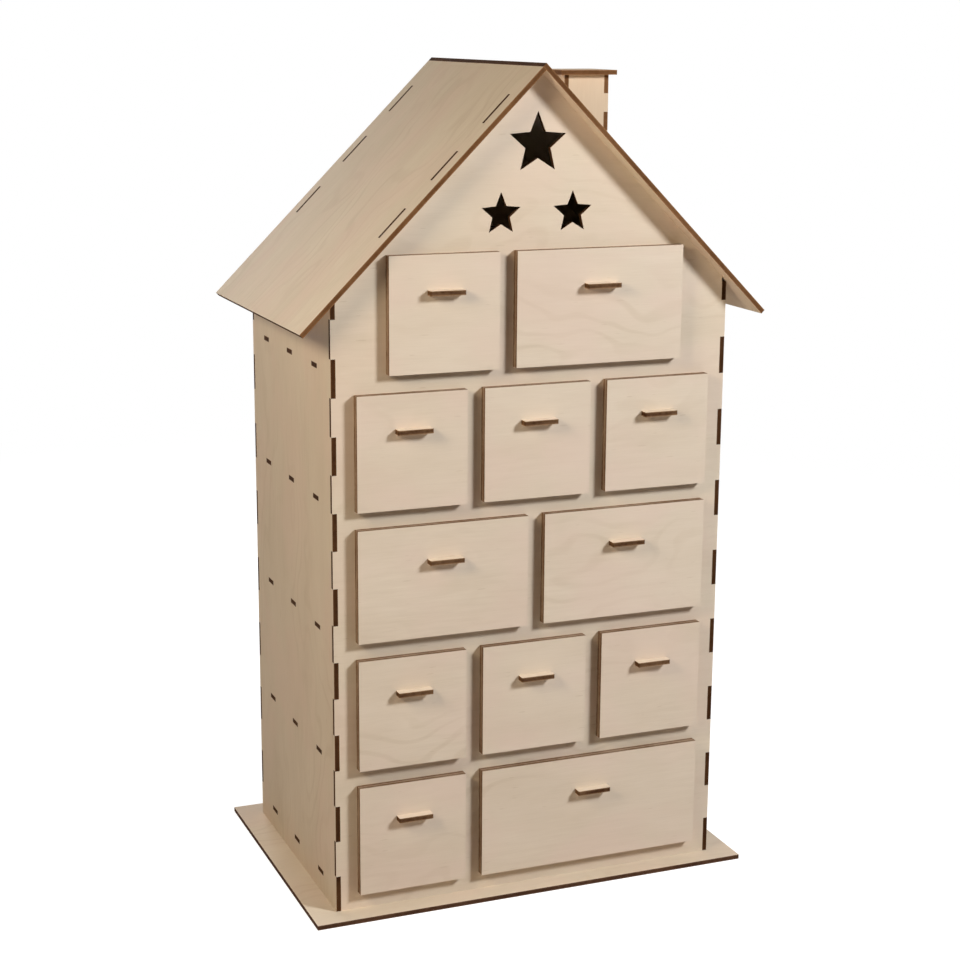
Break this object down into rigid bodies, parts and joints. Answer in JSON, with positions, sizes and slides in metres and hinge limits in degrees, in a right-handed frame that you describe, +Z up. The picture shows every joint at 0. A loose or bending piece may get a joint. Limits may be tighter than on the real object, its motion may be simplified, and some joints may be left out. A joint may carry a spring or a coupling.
{
  "type": "wooden advent calendar",
  "caption": "Plywood house with a gabled roof and chimney, whose front and back hold sliding drawers with plain plate handles, for an advent calendar to fill.",
  "frame": {"origin": "middle of the base plate's underside", "axes": "+Z up, -Y out of the pictured front, +X to the right when facing that front"},
  "size_m": [0.327, 0.214, 0.5602],
  "materials": {
    "house_plywood": "raw sanded birch plywood",
    "roof_plywood": "raw sanded birch plywood",
    "drawer_front_plywood": "raw sanded birch plywood",
    "drawer_box_plywood": "raw sanded birch plywood"
  },
  "bodies": {
    "house": {"base_plate": "house_plywood", "front_wall": "house_plywood", "back_wall": "house_plywood", "left_wall": "house_plywood", "right_wall": "house_plywood", "shelves": "house_plywood", "dividers": "house_plywood", "left_roof_panel": "roof_plywood", "right_roof_panel": "roof_plywood", "chimney_walls": "roof_plywood", "chimney_cap": "roof_plywood"},
    "drawer_01": {"drawer_01_front": "drawer_front_plywood", "drawer_01_box": "drawer_box_plywood"},
    "drawer_02": {"drawer_02_front": "drawer_front_plywood", "drawer_02_box": "drawer_box_plywood"},
    "drawer_03": {"drawer_03_front": "drawer_front_plywood", "drawer_03_box": "drawer_box_plywood"},
    "drawer_04": {"drawer_04_front": "drawer_front_plywood", "drawer_04_box": "drawer_box_plywood"},
    "drawer_05": {"drawer_05_front": "drawer_front_plywood", "drawer_05_box": "drawer_box_plywood"},
    "drawer_06": {"drawer_06_front": "drawer_front_plywood", "drawer_06_box": "drawer_box_plywood"},
    "drawer_07": {"drawer_07_front": "drawer_front_plywood", "drawer_07_box": "drawer_box_plywood"},
    "drawer_08": {"drawer_08_front": "drawer_front_plywood", "drawer_08_box": "drawer_box_plywood"},
    "drawer_09": {"drawer_09_front": "drawer_front_plywood", "drawer_09_box": "drawer_box_plywood"},
    "drawer_10": {"drawer_10_front": "drawer_front_plywood", "drawer_10_box": "drawer_box_plywood"},
    "drawer_11": {"drawer_11_front": "drawer_front_plywood", "drawer_11_box": "drawer_box_plywood"},
    "drawer_12": {"drawer_12_front": "drawer_front_plywood", "drawer_12_box": "drawer_box_plywood"},
    "drawer_13": {"drawer_13_front": "drawer_front_plywood", "drawer_13_box": "drawer_box_plywood"},
    "drawer_14": {"drawer_14_front": "drawer_front_plywood", "drawer_14_box": "drawer_box_plywood"},
    "drawer_15": {"drawer_15_front": "drawer_front_plywood", "drawer_15_box": "drawer_box_plywood"},
    "drawer_16": {"drawer_16_front": "drawer_front_plywood", "drawer_16_box": "drawer_box_plywood"},
    "drawer_17": {"drawer_17_front": "drawer_front_plywood", "drawer_17_box": "drawer_box_plywood"},
    "drawer_18": {"drawer_18_front": "drawer_front_plywood", "drawer_18_box": "drawer_box_plywood"},
    "drawer_19": {"drawer_19_front": "drawer_front_plywood", "drawer_19_box": "drawer_box_plywood"},
    "drawer_20": {"drawer_20_front": "drawer_front_plywood", "drawer_20_box": "drawer_box_plywood"},
    "drawer_21": {"drawer_21_front": "drawer_front_plywood", "drawer_21_box": "drawer_box_plywood"},
    "drawer_22": {"drawer_22_front": "drawer_front_plywood", "drawer_22_box": "drawer_box_plywood"},
    "drawer_23": {"drawer_23_front": "drawer_front_plywood", "drawer_23_box": "drawer_box_plywood"},
    "drawer_24": {"drawer_24_front": "drawer_front_plywood", "drawer_24_box": "drawer_box_plywood"}
  },
  "joints": [
    {"name": "drawer_01_slide", "type": "slide", "parent": "house", "child": "drawer_01", "axis": [0, -1, 0], "range_m": [0, 0.075]},
    {"name": "drawer_02_slide", "type": "slide", "parent": "house", "child": "drawer_02", "axis": [0, -1, 0], "range_m": [0, 0.075]},
    {"name": "drawer_03_slide", "type": "slide", "parent": "house", "child": "drawer_03", "axis": [0, -1, 0], "range_m": [0, 0.075]},
    {"name": "drawer_04_slide", "type": "slide", "parent": "house", "child": "drawer_04", "axis": [0, -1, 0], "range_m": [0, 0.075]},
    {"name": "drawer_05_slide", "type": "slide", "parent": "house", "child": "drawer_05", "axis": [0, -1, 0], "range_m": [0, 0.075]},
    {"name": "drawer_06_slide", "type": "slide", "parent": "house", "child": "drawer_06", "axis": [0, -1, 0], "range_m": [0, 0.075]},
    {"name": "drawer_07_slide", "type": "slide", "parent": "house", "child": "drawer_07", "axis": [0, -1, 0], "range_m": [0, 0.075]},
    {"name": "drawer_08_slide", "type": "slide", "parent": "house", "child": "drawer_08", "axis": [0, -1, 0], "range_m": [0, 0.075]},
    {"name": "drawer_09_slide", "type": "slide", "parent": "house", "child": "drawer_09", "axis": [0, -1, 0], "range_m": [0, 0.075]},
    {"name": "drawer_10_slide", "type": "slide", "parent": "house", "child": "drawer_10", "axis": [0, -1, 0], "range_m": [0, 0.075]},
    {"name": "drawer_11_slide", "type": "slide", "parent": "house", "child": "drawer_11", "axis": [0, -1, 0], "range_m": [0, 0.075]},
    {"name": "drawer_12_slide", "type": "slide", "parent": "house", "child": "drawer_12", "axis": [0, -1, 0], "range_m": [0, 0.075]},
    {"name": "drawer_13_slide", "type": "slide", "parent": "house", "child": "drawer_13", "axis": [0, 1, 0], "range_m": [0, 0.075]},
    {"name": "drawer_14_slide", "type": "slide", "parent": "house", "child": "drawer_14", "axis": [0, 1, 0], "range_m": [0, 0.075]},
    {"name": "drawer_15_slide", "type": "slide", "parent": "house", "child": "drawer_15", "axis": [0, 1, 0], "range_m": [0, 0.075]},
    {"name": "drawer_16_slide", "type": "slide", "parent": "house", "child": "drawer_16", "axis": [0, 1, 0], "range_m": [0, 0.075]},
    {"name": "drawer_17_slide", "type": "slide", "parent": "house", "child": "drawer_17", "axis": [0, 1, 0], "range_m": [0, 0.075]},
    {"name": "drawer_18_slide", "type": "slide", "parent": "house", "child": "drawer_18", "axis": [0, 1, 0], "range_m": [0, 0.075]},
    {"name": "drawer_19_slide", "type": "slide", "parent": "house", "child": "drawer_19", "axis": [0, 1, 0], "range_m": [0, 0.075]},
    {"name": "drawer_20_slide", "type": "slide", "parent": "house", "child": "drawer_20", "axis": [0, 1, 0], "range_m": [0, 0.075]},
    {"name": "drawer_21_slide", "type": "slide", "parent": "house", "child": "drawer_21", "axis": [0, 1, 0], "range_m": [0, 0.075]},
    {"name": "drawer_22_slide", "type": "slide", "parent": "house", "child": "drawer_22", "axis": [0, 1, 0], "range_m": [0, 0.075]},
    {"name": "drawer_23_slide", "type": "slide", "parent": "house", "child": "drawer_23", "axis": [0, 1, 0], "range_m": [0, 0.075]},
    {"name": "drawer_24_slide", "type": "slide", "parent": "house", "child": "drawer_24", "axis": [0, 1, 0], "range_m": [0, 0.075]}
  ]
}
